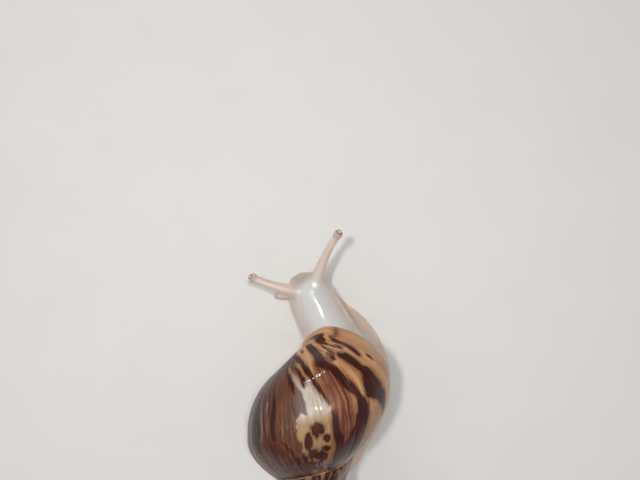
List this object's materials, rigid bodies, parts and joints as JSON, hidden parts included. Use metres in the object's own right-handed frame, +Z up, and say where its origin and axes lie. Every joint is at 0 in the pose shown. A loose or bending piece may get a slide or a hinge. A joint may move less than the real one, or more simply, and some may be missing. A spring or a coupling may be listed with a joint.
{
  "type": "giant african land snail",
  "caption": "Juvenile giant African land snail crawling, white body, banded brown shell, head turned to its left with the eye tentacles out.",
  "frame": {"origin": "centre of the bounding box in plan, at the level of the sole", "axes": "-Y towards the head, +X towards the animal's left, +Z up from the floor"},
  "size_m": [0.0296, 0.0642, 0.0293],
  "materials": {
    "shell": "glossy, ochre with dark chestnut flames",
    "sole_skin": "moist, pale beige, slightly translucent",
    "body_skin": "moist, off-white, finely wrinkled",
    "collar_skin": "moist, smooth, tan",
    "neck_skin": "moist, bluish white, translucent",
    "lip_skin": "moist, beige",
    "tentacle_skin": "moist, translucent beige grey",
    "eye": "wet, brown grey with a pale middle"
  },
  "bodies": {
    "root": {"shell": "shell", "foot": "sole_skin", "tail": "sole_skin", "trunk": "body_skin", "mantle_collar": "collar_skin", "neck": "neck_skin", "head": "neck_skin", "lips": "lip_skin", "upper_tentacle_left": "tentacle_skin", "upper_tentacle_right": "tentacle_skin", "lower_tentacle_left": "tentacle_skin", "lower_tentacle_right": "tentacle_skin", "eye_left": "eye", "eye_right": "eye"}
  },
  "joints": []
}
